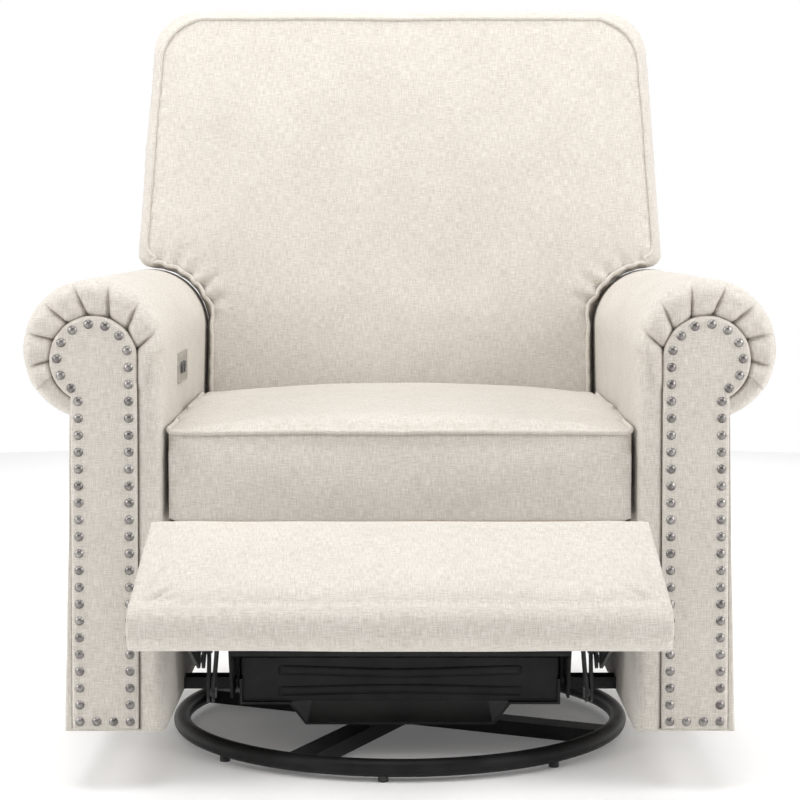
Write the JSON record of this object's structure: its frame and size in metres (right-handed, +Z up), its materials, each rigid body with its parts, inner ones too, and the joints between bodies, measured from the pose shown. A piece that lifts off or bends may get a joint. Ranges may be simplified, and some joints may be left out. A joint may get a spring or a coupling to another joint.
{
  "type": "recliner glider chair",
  "caption": "Upholstered swivel glider recliner with rolled, nail-trimmed arms, a powered footrest on a scissor linkage and a steel ring base.",
  "frame": {"origin": "on the floor, on the swivel axis, under the middle of the ring base", "axes": "+Z up; the chair faces -Y at rest; +X is the sitter's left"},
  "size_m": [0.976, 1.2814, 1.078],
  "materials": {
    "ring_steel": "satin black powder coat",
    "mechanism_steel": "black paint over pressed steel",
    "rivet_steel": "dull zinc plate",
    "bearing_steel": "ground steel",
    "glide_plastic": "hard black plastic",
    "motor_plastic": "moulded black housing",
    "linen": "cream linen-look weave",
    "frame_wood": "bare hardwood and plywood",
    "nailhead": "pewter nail heads",
    "control_plate": "satin nickel",
    "button": "dark grey",
    "spring_wire": "oiled wire",
    "dark_cover": "black non-woven cover"
  },
  "bodies": {
    "base": {"base_ring": "ring_steel", "floor_glides": "glide_plastic", "base_crossbar_main": "ring_steel", "base_crossbar_halves": "ring_steel", "base_hub_plate": "ring_steel", "kingpin": "bearing_steel", "kingpin_nut": "bearing_steel", "swivel_lower_race": "bearing_steel", "swivel_balls": "bearing_steel"},
    "glide_frame": {"swivel_upper_race": "bearing_steel", "glide_pan": "mechanism_steel", "glide_cross_channels": "mechanism_steel", "glide_side_rails": "mechanism_steel", "glide_upper_pins": "rivet_steel"},
    "front_links": {"swing_links_front": "mechanism_steel"},
    "rear_links": {"swing_links_rear": "mechanism_steel"},
    "chair": {"seat_mechanism_plate_left": "mechanism_steel", "seat_mechanism_plate_right": "mechanism_steel", "mechanism_rivets": "rivet_steel", "mechanism_cross_tubes": "mechanism_steel", "arm_outriggers": "mechanism_steel", "seat_rail_front": "frame_wood", "seat_rail_rear": "frame_wood", "seat_rails_side": "frame_wood", "seat_deck": "dark_cover", "seat_springs": "spring_wire", "seat_cushion": "linen", "drive_gearbox": "motor_plastic", "drive_motor": "motor_plastic", "arm_frame_left": "frame_wood", "arm_frame_right": "frame_wood", "arm_padding_left": "linen", "arm_padding_right": "linen", "arm_panel_left": "linen", "arm_panel_right": "linen", "arm_nailheads_left": "nailhead", "arm_nailheads_right": "nailhead", "rear_panel": "linen", "control_bezel": "control_plate", "control_housing": "motor_plastic", "usb_socket": "button", "power_inlet": "motor_plastic"},
    "back": {"back_cushion": "linen", "back_frame": "frame_wood", "back_shell": "linen", "back_hinge_brackets": "mechanism_steel"},
    "crank": {"footrest_drive_tube": "mechanism_steel", "footrest_crank_links": "mechanism_steel", "footrest_crank_pins": "rivet_steel"},
    "lift": {"footrest_lift_links": "mechanism_steel", "footrest_tail_pins": "rivet_steel"},
    "guide": {"footrest_guide_links": "mechanism_steel"},
    "brace": {"footrest_brace_links": "mechanism_steel"},
    "footrest": {"footrest_pad": "linen", "footrest_board": "frame_wood", "footrest_brackets": "mechanism_steel", "footrest_bracket_pins": "rivet_steel"},
    "recline_button": {"button_recline": "button"},
    "return_button": {"button_return": "button"}
  },
  "joints": [
    {"name": "swivel", "type": "hinge", "parent": "base", "child": "glide_frame", "pos_m": [0, 0, 0], "axis": [0, 0, 1], "continuous": true},
    {"name": "glide", "type": "hinge", "parent": "glide_frame", "child": "front_links", "pos_m": [0, -0.15, 0.19], "axis": [1, 0, 0], "range_deg": [-28, 28]},
    {"name": "glide_hang", "type": "hinge", "parent": "front_links", "child": "chair", "pos_m": [0, -0.15, 0.1], "axis": [1, 0, 0], "range_deg": [-28.5, 28.5]},
    {"name": "glide_rear", "type": "hinge", "parent": "glide_frame", "child": "rear_links", "pos_m": [0, 0.15, 0.19], "axis": [1, 0, 0], "range_deg": [-28.5, 28.5]},
    {"name": "back_recline", "type": "hinge", "parent": "chair", "child": "back", "pos_m": [0, 0.262, 0.335], "axis": [-1, 0, 0], "range_deg": [0, 35]},
    {"name": "footrest_drive", "type": "hinge", "parent": "chair", "child": "crank", "pos_m": [0, -0.27126, 0.30656], "axis": [-1, 0, 0], "range_deg": [-139.57, 27.91]},
    {"name": "footrest_lift", "type": "hinge", "parent": "crank", "child": "lift", "pos_m": [0, -0.41064, 0.19635], "axis": [-1, 0, 0], "range_deg": [-21.25, 104.22]},
    {"name": "footrest_tilt", "type": "hinge", "parent": "lift", "child": "footrest", "pos_m": [0, -0.58493, 0.28005], "axis": [-1, 0, 0], "range_deg": [-39.65, 8.33]},
    {"name": "footrest_guide", "type": "hinge", "parent": "chair", "child": "guide", "pos_m": [0, -0.26889, 0.274], "axis": [-1, 0, 0], "range_deg": [-132.4, 26.88]},
    {"name": "footrest_brace", "type": "hinge", "parent": "crank", "child": "brace", "pos_m": [0, -0.425, 0.18499], "axis": [-1, 0, 0], "range_deg": [-19.44, 95.18]},
    {"name": "recline_press", "type": "slide", "parent": "chair", "child": "recline_button", "axis": [-1, 0, 0], "range_m": [0, 0.0015], "stiffness_N_per_m": 400},
    {"name": "return_press", "type": "slide", "parent": "chair", "child": "return_button", "axis": [-1, 0, 0], "range_m": [0, 0.0015], "stiffness_N_per_m": 400}
  ],
  "couplings": [
    {"joint": "glide_hang", "follows": "glide", "ratio": -1},
    {"joint": "glide_rear", "follows": "glide", "ratio": 1},
    {"joint": "footrest_lift", "follows": "footrest_drive", "ratio": -0.74315},
    {"joint": "footrest_tilt", "follows": "footrest_drive", "ratio": 0.28049},
    {"joint": "footrest_guide", "follows": "footrest_drive", "ratio": 0.94499},
    {"joint": "footrest_brace", "follows": "footrest_drive", "ratio": -0.67833}
  ]
}
